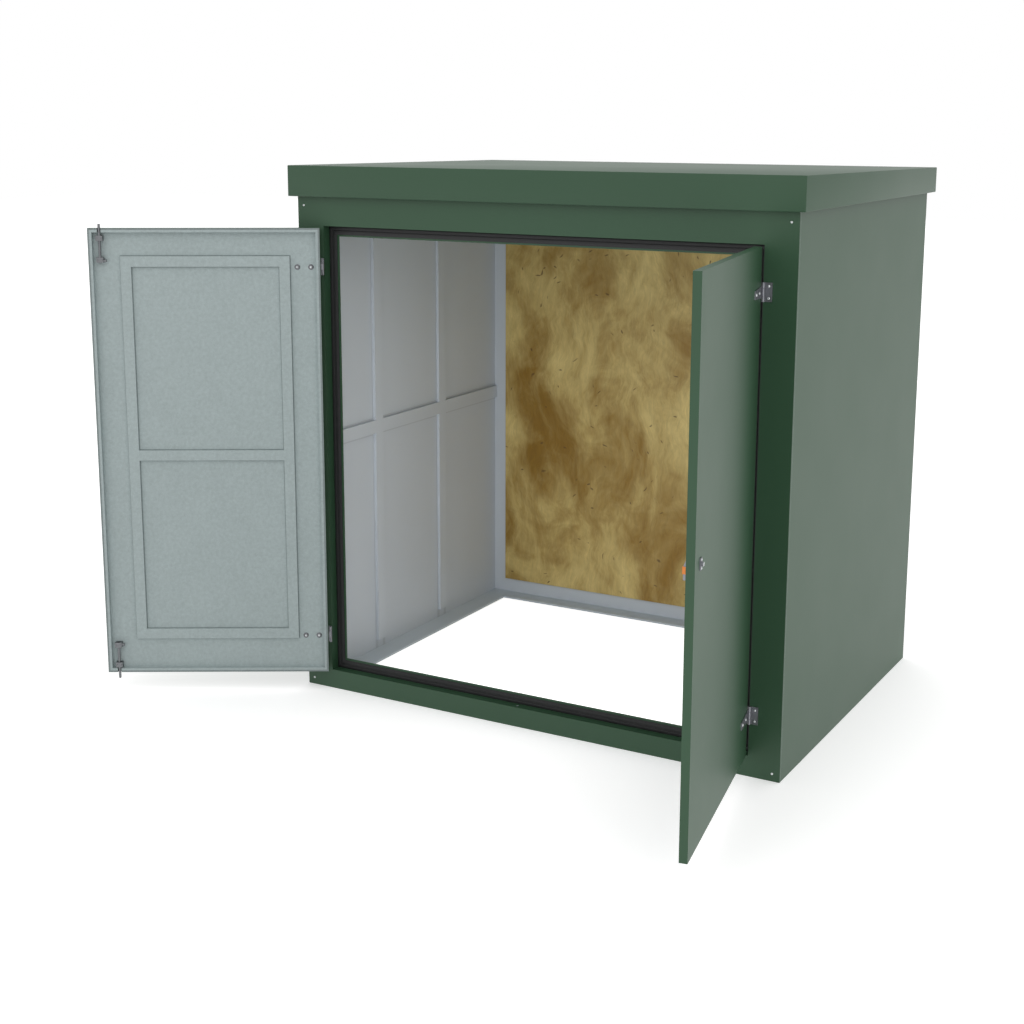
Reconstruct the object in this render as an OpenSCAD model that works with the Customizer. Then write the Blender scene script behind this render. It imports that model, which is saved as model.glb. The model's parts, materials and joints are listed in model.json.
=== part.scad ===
// Walk-in enclosure in glass-fibre: a flat-pack body with a framed double doorway,
// two outward-opening doors, a falling roof and a plywood board on the back wall.
// Millimetres. X runs along the front, Y goes to the back, Z is up.
// The origin is on the ground, in the middle of the underside of the front sill.

/* [Body] */
// Width over the side walls
body_w = 2000; // [1700:10:2800]
// Depth from the front face to the back face
body_d = 1500; // [1100:10:2400]
// Height of the walls at the front, under the roof deck
body_h = 2062; // [1800:1:2600]
// Thickness of the moulded wall panels
wall_t = 10; // [8:0.5:20]

/* [Roof] */
// How much the roof falls from front to back
roof_fall = 18; // [0:1:60]
// How far the roof stands out past the walls
roof_over = 27; // [20:1:80]
// Thickness of the roof deck
deck_t = 8; // [6:1:20]
// How far the fascia hangs below the top of the front wall
fascia_drop = 108; // [60:1:160]
// Thickness of the fascia
fascia_t = 6; // [4:1:14]

/* [Doorway] */
// Width of the frame beside the doorway
jamb_w = 117; // [90:1:180]
// Height of the frame below the doorway
sill_h = 76; // [60:1:160]
// Height of the frame above the doorway
head_h = 218; // [150:1:300]
// Clear gap between a closed door and the seal
seal_gap = 7; // [4:0.5:12]
// Thickness of the doorway's return
return_t = 6; // [4:1:9]
// Width of the stop that the doors close towards
stop_w = 41; // [34:1:60]
// Thickness of the stop
stop_t = 4; // [3:0.5:6]
// Width of the rubber seal on the stop
seal_w = 38; // [20:1:40]
// Thickness of the rubber seal
seal_t = 8; // [4:0.5:10]

/* [Base] */
// Width of the ground flange along the sides
side_flange_w = 97; // [60:1:140]
// Width of the ground flange along the back and the front
end_flange_w = 86; // [60:1:140]
// Thickness of the ground flange
flange_t = 9; // [6:1:14]

/* [Lining] */
// Width of the stiffening ribs inside the side walls
rib_w = 55; // [30:1:80]
// How far the ribs stand out from the wall
rib_t = 12; // [6:1:20]
// Height of the middle of the level rib
rib_mid_h = 978; // [800:1:1200]
// Clear height from the ground flange to the foot of the upright ribs
rib_foot = 36; // [10:1:80]
// Thickness of the plywood board
board_t = 12; // [9:1:18]
// Bare border left around the board
board_edge = 64; // [40:1:120]

/* [Doors] */
// Clear gap between the doors and all that is around them
door_gap = 5; // [5:0.5:8]
// Thickness of a door over its lip
door_t = 27; // [22:0.5:34]
// Thickness of a door's outer skin
skin_t = 6; // [4:1:8]
// Width of the lip around a door's inner face
lip_w = 16; // [12:1:24]
// Width of the raised bars on a door's inner face
bar_w = 40; // [25:1:60]
// How far the raised bars stand out from the skin
bar_t = 10; // [5:1:14]
// Distance from a door's sides to the bars
bar_side = 117; // [110:1:160]
// Distance from a door's foot to the lowest bar
bar_foot = 136; // [80:1:200]
// Distance from a door's top to the highest bar
bar_head = 107; // [80:1:200]
// Angle of the left door at rest, from closed
left_open = 149.4; // [90:0.1:165]
// Angle of the right door at rest, from closed
right_open = 100; // [90:0.1:165]

/* [Hinges] */
// Height of a hinge
hinge_h = 64; // [50:1:90]
// Thickness of the hinge leaves
leaf_t = 2.5; // [2:0.5:4]
// Width of the leaf on the frame, from the hinge axis
frame_leaf_w = 30; // [24:1:40]
// Length of the leaf on the door, from the hinge axis
door_leaf_w = 116; // [100:1:140]
// Height of the door leaf beside the knuckle
door_leaf_root = 40; // [30:1:50]
// Height of the door leaf at its far end
door_leaf_tip = 28; // [20:1:30]
// Outer diameter of the knuckles
knuckle_d = 11; // [10:0.5:11]
// Diameter of the hinge pin
pin_d = 5; // [4:0.5:6]
// Distance of the lower hinge from the door's foot
hinge_low = 145; // [100:1:300]
// Distance of the upper hinge from the door's top
hinge_high = 149; // [100:1:300]

/* [Shoot bolts] */
// Diameter of the shoot bolt rods
rod_d = 10; // [8:1:12]
// Length of the shoot bolt rods
rod_l = 160; // [140:1:200]
// Distance from the rods to the left door's free edge
rod_in = 44; // [34:1:60]
// How far the top rod stands out when it is shot
top_throw = 16; // [14:1:20]
// How far the bottom rod stands out when it is shot
foot_throw = 25; // [14:1:30]
// Width of the rod guides
guide_w = 26; // [20:1:32]
// Height of the rod guides
guide_h = 20; // [12:1:24]
// Distance from the door's top to the first guide of the top bolt
guide_from_top = 38; // [30:1:60]
// Distance from the door's foot to the first guide of the foot bolt
guide_from_foot = 31; // [30:1:60]
// Distance between the two guides of a bolt
guide_step = 82; // [60:1:82]
// Length of the bent handle
handle_l = 24; // [16:1:30]

/* [Lock] */
// Distance from the lock to the right door's free edge
lock_in = 67; // [50:1:90]
// Height of the lock above the door's foot
lock_h = 906; // [600:1:1100]

/* [Hidden] */
$fn = 48;
eps = 0.01;
// Outer faces of the side walls
half_w = body_w / 2;
// Inner face of the left wall
wall_in = wall_t - half_w;
// Bed of sealant between the roof deck and what it rests on
roof_bed = 0.1;
// Doorway edges
door_l = jamb_w - half_w;
door_r = -door_l;
door_b = sill_h;
door_u = body_h - head_h;
// Depth of the doorway's return behind the front face
reveal_d = door_t + seal_gap + seal_t + stop_t;
// Doors
door_w = (door_r - door_l - 3 * door_gap) / 2;
door_h = door_u - door_b - 2 * door_gap;
door_z = door_b + door_gap;
// Hinge axis: just outside the doorway's edge and in front of the face
axis_in = 2;
knuckle_gap = 0.5;
axis_y = -(knuckle_d / 2 + knuckle_gap);
pin_fit = 0.3;
leaf_fit = 2;
knuckle_step = 1;
mid_knuckle = hinge_h * 0.38;
// Rods
rod_y = door_t - rod_d / 2;
rod_fit = 0.4;
keep_fit = 2;
notch_fit = 2;
guide_over = 2;
// The board's top and the ribs' top stop short of the roof
lining_head = 110;
// Lock
plate_w = 22;
plate_h = 36;
plate_t = 4;
barrel_d = 14;
barrel_l = 10;
case_w = 34;
case_h = 60;
case_out = 19;
case_drop = 20;
case_slope_h = 20;
case_slope_in = 7;
catch_h = 22;
catch_deep = 14;
catch_out = 2;

// Underside of the roof deck, and the top of what carries it, at a depth y
function deck_z(y) = body_h - roof_fall * y / body_d;
function under_z(y) = deck_z(y) - roof_bed;

// A box given by its two corners
module slab(a, b) { translate(a) cube(b - a); }

// What is drawn from the left is also made on the right
module other_hand() { mirror([1, 0, 0]) children(); }

// An outline in depth and height, drawn out along X
module along_x(x0, x1) {
    translate([x0, 0, 0]) rotate([90, 0, 90]) linear_extrude(x1 - x0) children();
}

// ---------- Front frame ----------
module keep_hole() {
    translate([rod_x(), rod_y, -1]) cylinder(d = rod_d + 2 * keep_fit, h = return_t + 2);
}

module front_head() {
    color("#44604c") difference() {
        union() {
            slab([-half_w, 0, door_u], [half_w, wall_t, under_z(wall_t)]);
            slab([door_l - return_t, wall_t, door_u], [door_r + return_t, reveal_d, door_u + return_t]);
        }
        translate([0, 0, door_u]) keep_hole();
    }
}

module front_sill() {
    color("#44604c") difference() {
        union() {
            slab([-half_w, 0, 0], [half_w, wall_t, door_b]);
            slab([door_l - return_t, wall_t, door_b - return_t], [door_r + return_t, reveal_d, door_b]);
        }
        translate([0, 0, door_b - return_t]) keep_hole();
    }
}

module jamb() {
    slab([-half_w, 0, door_b], [door_l, wall_t, door_u]);
    slab([door_l - return_t, wall_t - eps, door_b], [door_l, reveal_d, door_u]);
}

module front_left_jamb() { color("#44604c") jamb(); }
module front_right_jamb() { color("#44604c") other_hand() jamb(); }

// ---------- Stops and seals ----------
module level_strip(z0, z1, y0, y1) { slab([door_l, y0, z0], [door_r, y1, z1]); }
module upright_strip(w, y0, y1) { slab([door_l, y0, door_b + w], [door_l + w, y1, door_u - w]); }

stop_y = reveal_d - stop_t;
seal_y = stop_y - seal_t;

module head_stop() { color("#2f4a37") level_strip(door_u - stop_w, door_u, stop_y, reveal_d); }
module sill_stop() { color("#2f4a37") level_strip(door_b, door_b + stop_w, stop_y, reveal_d); }
module left_stop() { color("#2f4a37") upright_strip(stop_w, stop_y, reveal_d); }
module right_stop() { color("#2f4a37") other_hand() upright_strip(stop_w, stop_y, reveal_d); }

module head_seal() { color("#202022") level_strip(door_u - seal_w, door_u, seal_y, stop_y); }
module sill_seal() { color("#202022") level_strip(door_b, door_b + seal_w, seal_y, stop_y); }
module left_seal() { color("#202022") upright_strip(seal_w, seal_y, stop_y); }
module right_seal() { color("#202022") other_hand() upright_strip(seal_w, seal_y, stop_y); }

// ---------- Walls ----------
module side_wall() {
    along_x(-half_w, wall_t - half_w) polygon([
        [wall_t, 0], [body_d, 0], [body_d, under_z(body_d)], [wall_t, under_z(wall_t)]
    ]);
}

module left_wall() { color("#5f7366") side_wall(); }
module right_wall() { color("#5f7366") other_hand() side_wall(); }
module back_wall() {
    color("#5f7366") slab([wall_t - half_w, body_d - wall_t, 0], [half_w - wall_t, body_d, under_z(body_d)]);
}

// ---------- Roof ----------
roof_front = -roof_over;
roof_back = body_d + roof_over;
fascia_z = body_h - fascia_drop;

module roof_deck() {
    color("#7d887d") along_x(-half_w - roof_over, half_w + roof_over) polygon([
        [roof_front, deck_z(roof_front)], [roof_back, deck_z(roof_back)],
        [roof_back, deck_z(roof_back) + deck_t], [roof_front, deck_z(roof_front) + deck_t]
    ]);
}

module cross_fascia(y0, y1) {
    along_x(-half_w - roof_over, half_w + roof_over) polygon([
        [y0, fascia_z], [y1, fascia_z], [y1, under_z(y1)], [y0, under_z(y0)]
    ]);
}

module side_fascia() {
    along_x(-half_w - roof_over, fascia_t - half_w - roof_over) polygon([
        [roof_front + fascia_t, fascia_z], [roof_back - fascia_t, fascia_z],
        [roof_back - fascia_t, under_z(roof_back - fascia_t)],
        [roof_front + fascia_t, under_z(roof_front + fascia_t)]
    ]);
}

module front_fascia() { color("#44604c") cross_fascia(roof_front, roof_front + fascia_t); }
module back_fascia() { color("#44604c") cross_fascia(roof_back - fascia_t, roof_back); }
module left_fascia() { color("#44604c") side_fascia(); }
module right_fascia() { color("#44604c") other_hand() side_fascia(); }

// ---------- Ground flange ----------
flange_in = body_d - wall_t - end_flange_w;

module side_flange() {
    slab([wall_in, wall_t, 0], [wall_in + side_flange_w, body_d - wall_t, flange_t]);
}

module end_flange(y0) {
    slab([wall_in + side_flange_w, y0, 0], [-wall_in - side_flange_w, y0 + end_flange_w, flange_t]);
}

module left_base_flange() { color("#7f8a8a") side_flange(); }
module right_base_flange() { color("#7f8a8a") other_hand() side_flange(); }
module back_base_flange() { color("#7f8a8a") end_flange(flange_in); }
module front_base_flange() { color("#7f8a8a") end_flange(wall_t); }

// ---------- Ribs and board ----------
rib_top = deck_z(body_d) - lining_head;
rail_z0 = rib_mid_h - rib_w / 2;
rail_z1 = rib_mid_h + rib_w / 2;

module uprights() {
    for (y = [body_d / 3, 2 * body_d / 3]) {
        slab([wall_in, y - rib_w / 2, flange_t + rib_foot], [wall_in + rib_t, y + rib_w / 2, rail_z0]);
        slab([wall_in, y - rib_w / 2, rail_z1], [wall_in + rib_t, y + rib_w / 2, rib_top]);
    }
}

module rail() {
    slab([wall_in, reveal_d, rail_z0], [wall_in + rib_t, body_d - wall_t, rail_z1]);
}

module left_wall_uprights() { color("#9aa0a0") uprights(); }
module left_wall_rail() { color("#9aa0a0") rail(); }
module right_wall_uprights() { color("#9aa0a0") other_hand() uprights(); }
module right_wall_rail() { color("#9aa0a0") other_hand() rail(); }

module back_board() {
    color("#8f7a45") slab(
        [wall_in + board_edge, body_d - wall_t - board_t, flange_t + board_edge],
        [-wall_in - board_edge, body_d - wall_t, rib_top]
    );
}

// ---------- Doors ----------
// All door pieces are drawn closed and on the left hand, then swung to their rest angle.
axis_x = door_l - axis_in;
function rod_x() = door_l + door_gap + door_w - rod_in;

module swing(angle) {
    translate([axis_x, axis_y, 0]) rotate([0, 0, -angle]) translate([-axis_x, -axis_y, 0]) children();
}
module on_left() { swing(left_open) children(); }
module on_right() { other_hand() swing(right_open) children(); }

leaf_x0 = door_l + door_gap;
leaf_x1 = leaf_x0 + door_w;
door_top = door_z + door_h;

module door_tray() {
    difference() {
        slab([leaf_x0, 0, door_z], [leaf_x1, door_t, door_top]);
        slab([leaf_x0 + lip_w, skin_t, door_z + lip_w], [leaf_x1 - lip_w, door_t + 1, door_top - lip_w]);
    }
}

// Slots in the lip that the rods pass through
module rod_slots() {
    half = rod_d / 2 + notch_fit;
    for (z = [door_z - 1, door_top - lip_w - 1])
        slab([rod_x() - half, rod_y - half, z], [rod_x() + half, door_t + 1, z + lip_w + 2]);
}

stile_z0 = door_z + bar_foot;
stile_z1 = door_top - bar_head;
bar_y = skin_t + bar_t;
bar_mid = door_z + door_h / 2;

module door_stiles() {
    for (x = [leaf_x0 + bar_side, leaf_x1 - bar_side - bar_w])
        slab([x, skin_t, stile_z0], [x + bar_w, bar_y, stile_z1]);
}

module door_rails() {
    for (z = [stile_z0, bar_mid - bar_w / 2, stile_z1 - bar_w])
        slab([leaf_x0 + bar_side + bar_w, skin_t, z], [leaf_x1 - bar_side - bar_w, bar_y, z + bar_w]);
}

module left_door() { color("#44604c") on_left() difference() { door_tray(); rod_slots(); } }
module left_door_stiles() { color("#a3adaa") on_left() door_stiles(); }
module left_door_rails() { color("#a3adaa") on_left() door_rails(); }
module right_door() { color("#44604c") on_right() door_tray(); }
module right_door_stiles() { color("#a3adaa") on_right() door_stiles(); }
module right_door_rails() { color("#a3adaa") on_right() door_rails(); }

// ---------- Hinges ----------
hinge_z = [door_z + hinge_low, door_top - hinge_high];

// Frame leaf with the two outer knuckles and the pin
module frame_leaf() {
    outer = (hinge_h - mid_knuckle) / 2 - knuckle_step;
    slab([axis_x - frame_leaf_w, -leaf_t, -hinge_h / 2], [axis_x - knuckle_d / 2, 0, hinge_h / 2]);
    for (z = [-hinge_h / 2, hinge_h / 2 - outer]) translate([0, 0, z]) {
        slab([axis_x - knuckle_d / 2 - eps, -leaf_t, 0], [axis_x, 0, outer]);
        translate([axis_x, axis_y, 0]) cylinder(d = knuckle_d, h = outer);
    }
    translate([axis_x, axis_y, -hinge_h / 2]) cylinder(d = pin_d, h = hinge_h);
}

// Door leaf, tapering to its tip, with the middle knuckle
module door_leaf() {
    x0 = axis_x + knuckle_d / 2 + leaf_fit;
    rotate([90, 0, 0]) linear_extrude(leaf_t) polygon([
        [x0, -door_leaf_root / 2], [axis_x + door_leaf_w, -door_leaf_tip / 2],
        [axis_x + door_leaf_w, door_leaf_tip / 2], [x0, door_leaf_root / 2]
    ]);
    difference() {
        union() {
            translate([axis_x, axis_y, -mid_knuckle / 2]) cylinder(d = knuckle_d, h = mid_knuckle);
            slab([axis_x, -leaf_t, -mid_knuckle / 2], [x0 + eps, 0, mid_knuckle / 2]);
        }
        translate([axis_x, axis_y, -mid_knuckle])
            cylinder(d = pin_d + 2 * pin_fit, h = 2 * mid_knuckle);
    }
}

module at_hinges() { for (z = hinge_z) translate([0, 0, z]) children(); }

module left_frame_leaves() { color("#a9adb0") at_hinges() frame_leaf(); }
module right_frame_leaves() { color("#a9adb0") other_hand() at_hinges() frame_leaf(); }
module left_door_leaves() { color("#a9adb0") on_left() at_hinges() door_leaf(); }
module right_door_leaves() { color("#a9adb0") on_right() at_hinges() door_leaf(); }

// ---------- Shoot bolts ----------
module guide(z) {
    difference() {
        slab([rod_x() - guide_w / 2, skin_t, z - guide_h / 2],
             [rod_x() + guide_w / 2, door_t + guide_over, z + guide_h / 2]);
        translate([rod_x(), rod_y, z - guide_h]) cylinder(d = rod_d + 2 * rod_fit, h = 2 * guide_h);
    }
}

module bolt_guides() {
    color("#a9adb0") on_left() {
        for (d = [0, guide_step]) {
            guide(door_top - guide_from_top - d);
            guide(door_z + guide_from_foot + d);
        }
    }
}

// A rod with its handle turned towards the hinges, drawn upright from its plain end
module rod() {
    cylinder(d = rod_d, h = rod_l);
    translate([0, 0, rod_d / 2]) rotate([0, -90, 0]) cylinder(d = rod_d * 0.7, h = handle_l);
}

module top_bolt() {
    color("#8d9194") on_left() translate([rod_x(), rod_y, door_top + top_throw - rod_l]) rod();
}
module foot_bolt() {
    color("#8d9194") on_left() translate([rod_x(), rod_y, door_z - foot_throw + rod_l]) mirror([0, 0, 1]) rod();
}

// ---------- Lock ----------
lock_x = leaf_x1 - lock_in;
lock_z = door_z + lock_h;

module lock_plate() {
    color("#b9bdbf") on_right() translate([lock_x, 0, lock_z]) rotate([90, 0, 0]) {
        translate([-plate_w / 2, -plate_h / 2, 0]) cube([plate_w, plate_h, plate_t]);
        cylinder(d = barrel_d, h = barrel_l);
    }
}
// The case inside, upright in depth and height, with a sloping top
case_y = door_t + case_out;
case_z = lock_z - case_drop;
module case_body() {
    along_x(lock_x - case_w / 2, lock_x + case_w / 2) polygon([
        [skin_t, case_z - case_h / 2], [case_y, case_z - case_h / 2],
        [case_y, case_z + case_h / 2 - case_slope_h],
        [case_y - case_slope_in, case_z + case_h / 2], [skin_t, case_z + case_h / 2]
    ]);
}
module lock_case() { color("#8d9194") on_right() case_body(); }
// A slide that wraps around the case's front
module lock_catch() {
    color("#ff9a3c") on_right() difference() {
        slab([lock_x - case_w / 2 - catch_out, case_y - catch_deep, case_z - catch_h / 2],
             [lock_x + case_w / 2 + catch_out, case_y + catch_out, case_z + catch_h / 2]);
        case_body();
    }
}

front_head();
front_sill();
front_left_jamb();
front_right_jamb();
head_stop();
sill_stop();
left_stop();
right_stop();
head_seal();
sill_seal();
left_seal();
right_seal();
left_wall();
right_wall();
back_wall();
roof_deck();
front_fascia();
back_fascia();
left_fascia();
right_fascia();
left_base_flange();
right_base_flange();
back_base_flange();
front_base_flange();
left_wall_uprights();
left_wall_rail();
right_wall_uprights();
right_wall_rail();
back_board();
left_door();
left_door_stiles();
left_door_rails();
right_door();
right_door_stiles();
right_door_rails();
left_frame_leaves();
right_frame_leaves();
left_door_leaves();
right_door_leaves();
bolt_guides();
top_bolt();
foot_bolt();
lock_plate();
lock_case();
lock_catch();
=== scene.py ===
# %% [markdown]
# # A fibreglass walk-in enclosure
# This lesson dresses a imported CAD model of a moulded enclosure: a green flat-pack body with a falling
# roof, a double doorway with a black rubber seal, two doors, hinges, shoot bolts and a lock.
# The CAD gives every size. Here the pieces get their finishes, and the small moulded, bent and
# screwed pieces that CAD leaves plain are modelled by hand with Blender's operators.

# %% Load the frame
import bpy, json, math
from mathutils import Matrix, Vector


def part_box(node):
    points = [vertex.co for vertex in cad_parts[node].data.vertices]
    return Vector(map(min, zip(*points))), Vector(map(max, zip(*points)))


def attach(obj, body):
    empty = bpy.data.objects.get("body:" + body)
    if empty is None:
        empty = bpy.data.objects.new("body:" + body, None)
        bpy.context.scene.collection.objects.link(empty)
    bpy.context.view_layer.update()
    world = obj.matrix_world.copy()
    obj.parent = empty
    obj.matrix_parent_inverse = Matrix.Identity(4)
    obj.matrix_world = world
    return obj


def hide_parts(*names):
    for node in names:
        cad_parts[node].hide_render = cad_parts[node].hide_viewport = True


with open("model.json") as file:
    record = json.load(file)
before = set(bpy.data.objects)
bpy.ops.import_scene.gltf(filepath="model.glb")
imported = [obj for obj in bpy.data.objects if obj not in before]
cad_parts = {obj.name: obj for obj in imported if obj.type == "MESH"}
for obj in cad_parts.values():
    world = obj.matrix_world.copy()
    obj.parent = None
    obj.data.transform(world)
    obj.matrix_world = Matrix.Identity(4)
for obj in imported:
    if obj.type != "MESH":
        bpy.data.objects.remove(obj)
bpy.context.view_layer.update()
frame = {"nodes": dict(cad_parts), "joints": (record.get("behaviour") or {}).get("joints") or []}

nodes = frame["nodes"]

# %% [markdown]
# ## Sizes to work from
# Everything that is added has to sit on the CAD pieces, so its place is measured from their boxes.
# The two hinge axes come from the joints. A few sizes are smaller than a whole piece, so a box can't give
# them. They have a name here.

# %% Measure the pieces
front_lo, front_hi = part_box("front_head")
half_w = front_hi.x
jamb_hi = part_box("front_left_jamb")[1]
door_l, reveal_y = jamb_hi.x, jamb_hi.y
door_b, door_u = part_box("front_sill")[1].z, front_lo.z
wall_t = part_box("left_wall")[1].x + half_w
back_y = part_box("back_wall")[1].y
hinge = {j["child"]: j for j in frame["joints"] if j["type"] == "hinge"}
axis = {"left": Vector(hinge["left_leaf"]["pos_m"]), "right": Vector(hinge["right_leaf"]["pos_m"])}
opened = {"left": -math.radians(hinge["left_leaf"]["range_deg"][1]),
          "right": math.radians(hinge["right_leaf"]["range_deg"][1])}
print("doorway x", round(door_l, 4), "z", round(door_b, 4), "to", round(door_u, 4), "swung", opened)

# %% Name the small sizes, in metres
DOOR_GAP = 0.005        # the clearance round each door, and between the two
DOOR_T = 0.027          # the whole thickness of a door
TRAY_SKIN = 0.006       # the laminate of a door's outer face
LEAF_T = 0.0025         # the plate that a hinge leaf is cut from
KNUCKLE = 0.064         # the height of a hinge
ROD_R = 0.005           # the radius of a shoot bolt's rod
ROD_IN = 0.044          # from the left door's free edge to its shoot bolts
LOCK_IN = 0.067         # from the right door's free edge to its lock
HAIR = 0.0005           # where two faces meet, the paint starts this much past the line
print("a door is", DOOR_T, "m thick, its hinges", KNUCKLE, "m tall")

# %% [markdown]
# ## Drawn closed, shown open
# A piece on a door is drawn where it lies while the door is closed, and is then swung open. To turn about
# a hinge axis, the axis is moved to the origin, the turn is made there, and the axis is moved back.

# %% Swing what is drawn closed
def swung(side):
    """Turns what is drawn on the closed door of that side to its place on the opened door."""
    pivot = Matrix.Translation(axis[side])
    return pivot @ Matrix.Rotation(opened[side], 4, "Z") @ pivot.inverted()

print("hinge axes", {side: tuple(round(v, 4) for v in at) for side, at in axis.items()})

# %% [markdown]
# ## Camera
# A product view is taken from a little above head height, off to one side, so that the inside, an open
# door and one outer side all show. A long lens keeps the uprights nearly parallel, and a small shift
# frames the object without tilting the camera more.

# %% Set the camera
lens = bpy.data.cameras.new("view_camera")
camera = bpy.data.objects.new("view_camera", lens)
bpy.context.scene.collection.objects.link(camera)
camera.location = (2.7466, -4.9910, 2.2668)
camera.rotation_euler = (math.radians(78.66), 0, math.radians(29.96))
lens.sensor_width, lens.lens = 36, 56.51
lens.shift_x, lens.shift_y = 0.01637, -0.0755
lens.clip_end = 100
bpy.context.scene.camera = camera
bpy.context.scene.view_settings.view_transform = "Standard"
print("camera", camera.location[:])

# %% [markdown]
# ## Shader maths as expressions
# Node trees get hard to read when each sum needs its own line. A small class wraps a socket, so that
# `1 - mask` adds the Math node by itself. Any other node comes from one method of the finish.

# %% Wrap a socket
class Val:
    """A number or colour on its way through the nodes of a finish."""
    def __init__(self, finish, socket):
        self.finish, self.socket = finish, socket

    def _do(self, operation, *others):
        return self.finish.math(operation, self, *others)

    def __add__(self, o): return self._do("ADD", o)
    def __radd__(self, o): return self._do("ADD", o)
    def __sub__(self, o): return self._do("SUBTRACT", o)
    def __rsub__(self, o): return self.finish.math("SUBTRACT", o, self)
    def __mul__(self, o): return self._do("MULTIPLY", o)
    def __rmul__(self, o): return self._do("MULTIPLY", o)
    def __gt__(self, o): return self._do("GREATER_THAN", o)
    def __lt__(self, o): return self._do("LESS_THAN", o)
    def __abs__(self): return self._do("ABSOLUTE")
    def biggest(self, o): return self._do("MAXIMUM", o)
    def smooth(self, lo, hi):
        return self.finish.node("ShaderNodeMapRange", {"interpolation_type": "SMOOTHSTEP"},
                                {"Value": self, "From Min": lo, "From Max": hi})

print("a socket can be added to, multiplied and compared")

# %% [markdown]
# ## A finish
# A finish is one material with its Principled shader. Its methods each add a node or two: a noise, a mix,
# a tint, a stretch. They return a wrapped socket, so they can be used in an expression at once.

# %% Build a finish from nodes
class Finish:
    """One procedural finish, with its Principled shader."""
    def __init__(self, name):
        self.material = bpy.data.materials.new(name)
        self.material.use_nodes = True
        self.tree = self.material.node_tree
        self.shader = self.tree.nodes["Principled BSDF"]
        self.place = self.node("ShaderNodeTexCoord", {}, {}, "Object")

    def node(self, kind, settings, sockets, out=0):
        """Any node: its type, its settings, the values or links of its sockets, and the output used."""
        made = self.tree.nodes.new(kind)
        for key, value in settings.items():
            setattr(made, key, value)
        for key, value in sockets.items():
            if isinstance(value, Val):
                self.tree.links.new(value.socket, made.inputs[key])
            else:
                made.inputs[key].default_value = value
        return Val(self, made.outputs[out])

    def math(self, operation, *values):
        return self.node("ShaderNodeMath", {"operation": operation}, dict(enumerate(values)))

    def mix(self, factor, a, b, blend="MIX"):
        """Colour a where the factor is 0, b where it is 1. Sockets 6, 7 and output 2 are the colours."""
        a, b = (c if isinstance(c, Val) else tuple(c) + (1,) for c in (a, b))
        return self.node("ShaderNodeMix", {"data_type": "RGBA", "blend_type": blend},
                         {0: factor, 6: a, 7: b}, 2)

    def tint(self, colour, factor):
        """A colour made lighter or darker by a number that is near 1."""
        grey = self.node("ShaderNodeCombineColor", {}, {0: factor, 1: factor, 2: factor})
        return self.mix(1.0, colour, grey, "MULTIPLY")

    def stretched(self, scale, vector=None):
        return self.node("ShaderNodeMapping", {}, {"Vector": vector or self.place, "Scale": scale})

    def noise(self, scale, detail=3.0, vector=None, rough=0.5, warp=0.0):
        return self.node("ShaderNodeTexNoise", {}, {"Vector": vector or self.place, "Scale": scale,
                         "Detail": detail, "Roughness": rough, "Distortion": warp})

    def axes(self, vector=None):
        """The x, y and z of a vector, as three numbers."""
        split = self.node("ShaderNodeSeparateXYZ", {}, {0: vector or self.place})
        return [Val(self, o) for o in split.socket.node.outputs]

    def put(self, **sockets):
        """Sets the shader's own sockets: a link where the value varies, a constant where it doesn't."""
        for name, value in sockets.items():
            target = self.shader.inputs[name.replace("_", " ")]
            if isinstance(value, Val):
                self.tree.links.new(value.socket, target)
            else:
                target.default_value = tuple(value) + (1,) if isinstance(value, (tuple, list)) else value
        return self

    def bump(self, height, distance, strength=1.0):
        self.put(Normal=self.node("ShaderNodeBump", {}, {"Height": height, "Distance": distance,
                                                        "Strength": strength}))
        return self

print("finishes are mixed in Object coordinates, in metres")

# %% [markdown]
# ## The green gel coat
# The outside is a sprayed gel coat: one even green, satin to gloss, that mirrors its bright surroundings
# at low angles. Up close it has a faint orange peel and small differences in shade. A noise at hand's
# width shades the colour and the roughness, and a fine one gives the bump.

# %% Mix the gel coat
GREEN = (0.030, 0.079, 0.040)
GEL_SHINE = 0.42

def gel_colour(f):
    return f.tint(GREEN, 0.97 + 0.06 * f.noise(3.0, 4.0))

def gel_roughness(f):
    return 0.44 + 0.05 * f.noise(4.0, 2.0)

def gel_skin(f):
    """The gloss of the gel coat, and its orange peel."""
    peel = f.noise(55.0, 2.0) * 0.7 + f.noise(260.0, 1.0) * 0.3
    f.put(Roughness=gel_roughness(f), Specular_IOR_Level=GEL_SHINE)
    return f.bump(peel, 0.0006, 0.10)

gel = Finish("green_gel_coat")
gel.put(Base_Color=gel_colour(gel))
gel_skin(gel)
print("green", GREEN)

# %% [markdown]
# ## The grey flow coat
# The back of a laminate is brushed with a grey flow coat, so the glass mat still shows as a fine mottle.
# A noise the size of a strand bundle does most of it. Voronoi cells, a fine noise and a broad cloud are
# added, and the same sum shades the colour, dulls the gloss and raises the surface a little.

# %% Mix the flow coat
FLOW_GREY = (0.375, 0.44, 0.44)

def mat_grain(f):
    """The mottle of brushed glass mat, from 0 to 1."""
    mottle = f.noise(78.0, 4.0, None, 0.68)
    cells = f.node("ShaderNodeTexVoronoi", {}, {"Vector": f.place, "Scale": 420.0})
    fine = f.noise(650.0, 2.0)
    cloud = f.noise(9.0, 4.0)
    return 0.55 * mottle + 0.18 * cells + 0.15 * fine + 0.12 * cloud

def flow_colour(f, grain):
    return f.tint(FLOW_GREY, 0.60 + 0.82 * grain)

def flow_roughness(grain):
    return 0.50 + 0.16 * grain

flow = Finish("grey_flow_coat")
flow_grain = mat_grain(flow)
flow.put(Base_Color=flow_colour(flow, flow_grain), Roughness=flow_roughness(flow_grain))
flow.bump(flow_grain, 0.0012, 0.5)
print("flow coat", FLOW_GREY)

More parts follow.
